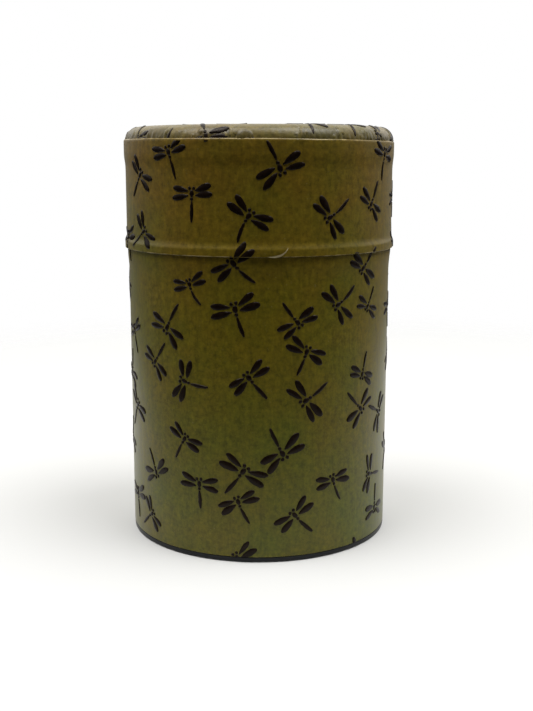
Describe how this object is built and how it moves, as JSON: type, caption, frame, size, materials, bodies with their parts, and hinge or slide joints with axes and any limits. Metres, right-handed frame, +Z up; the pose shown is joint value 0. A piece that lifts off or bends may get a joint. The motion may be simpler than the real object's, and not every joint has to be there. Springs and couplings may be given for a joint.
{
  "type": "tea caddy",
  "caption": "Cylindrical paper-covered tinplate tea caddy with a slip-on outer lid over a bare neck and a press-in inner lid with a small knob.",
  "frame": {"origin": "centre of the foot ring, on the surface the caddy stands on", "axes": "+Z up along the can's axis, the way both lids lift; +Y towards the back, where the tube and the papers are joined; +X to the right seen from the front"},
  "size_m": [0.077, 0.077, 0.116],
  "materials": {
    "tinplate": "bare bright tinplate, faint rolling lines, satin",
    "black_tin": "black lacquered tinplate, semi-gloss, rubbed at the foot",
    "washi": "olive-brown handmade paper with fine fibres and raised black lacquer insects, matt ground with a soft sheen at grazing angles",
    "turned_metal": "turned, fine concentric lines, satin"
  },
  "bodies": {
    "can": {"body_tube": "tinplate", "base_plate": "black_tin", "body_wrap": "washi"},
    "inner_lid": {"inner_lid_pan": "tinplate", "knob": "turned_metal", "knob_washer": "tinplate", "knob_rivet": "tinplate"},
    "outer_lid": {"lid_band": "tinplate", "lid_crown": "tinplate", "lid_top_wrap": "washi", "lid_side_wrap": "washi"}
  },
  "joints": [
    {"name": "outer_lid_lift", "type": "slide", "parent": "can", "child": "outer_lid", "axis": [0, 0, 1], "range_m": [0, 0.075]},
    {"name": "inner_lid_lift", "type": "slide", "parent": "can", "child": "inner_lid", "axis": [0, 0, 1], "range_m": [0, 0.038]}
  ],
  "couplings": [
    {"joint": "inner_lid_lift", "follows": "outer_lid_lift", "ratio": 0.5}
  ]
}
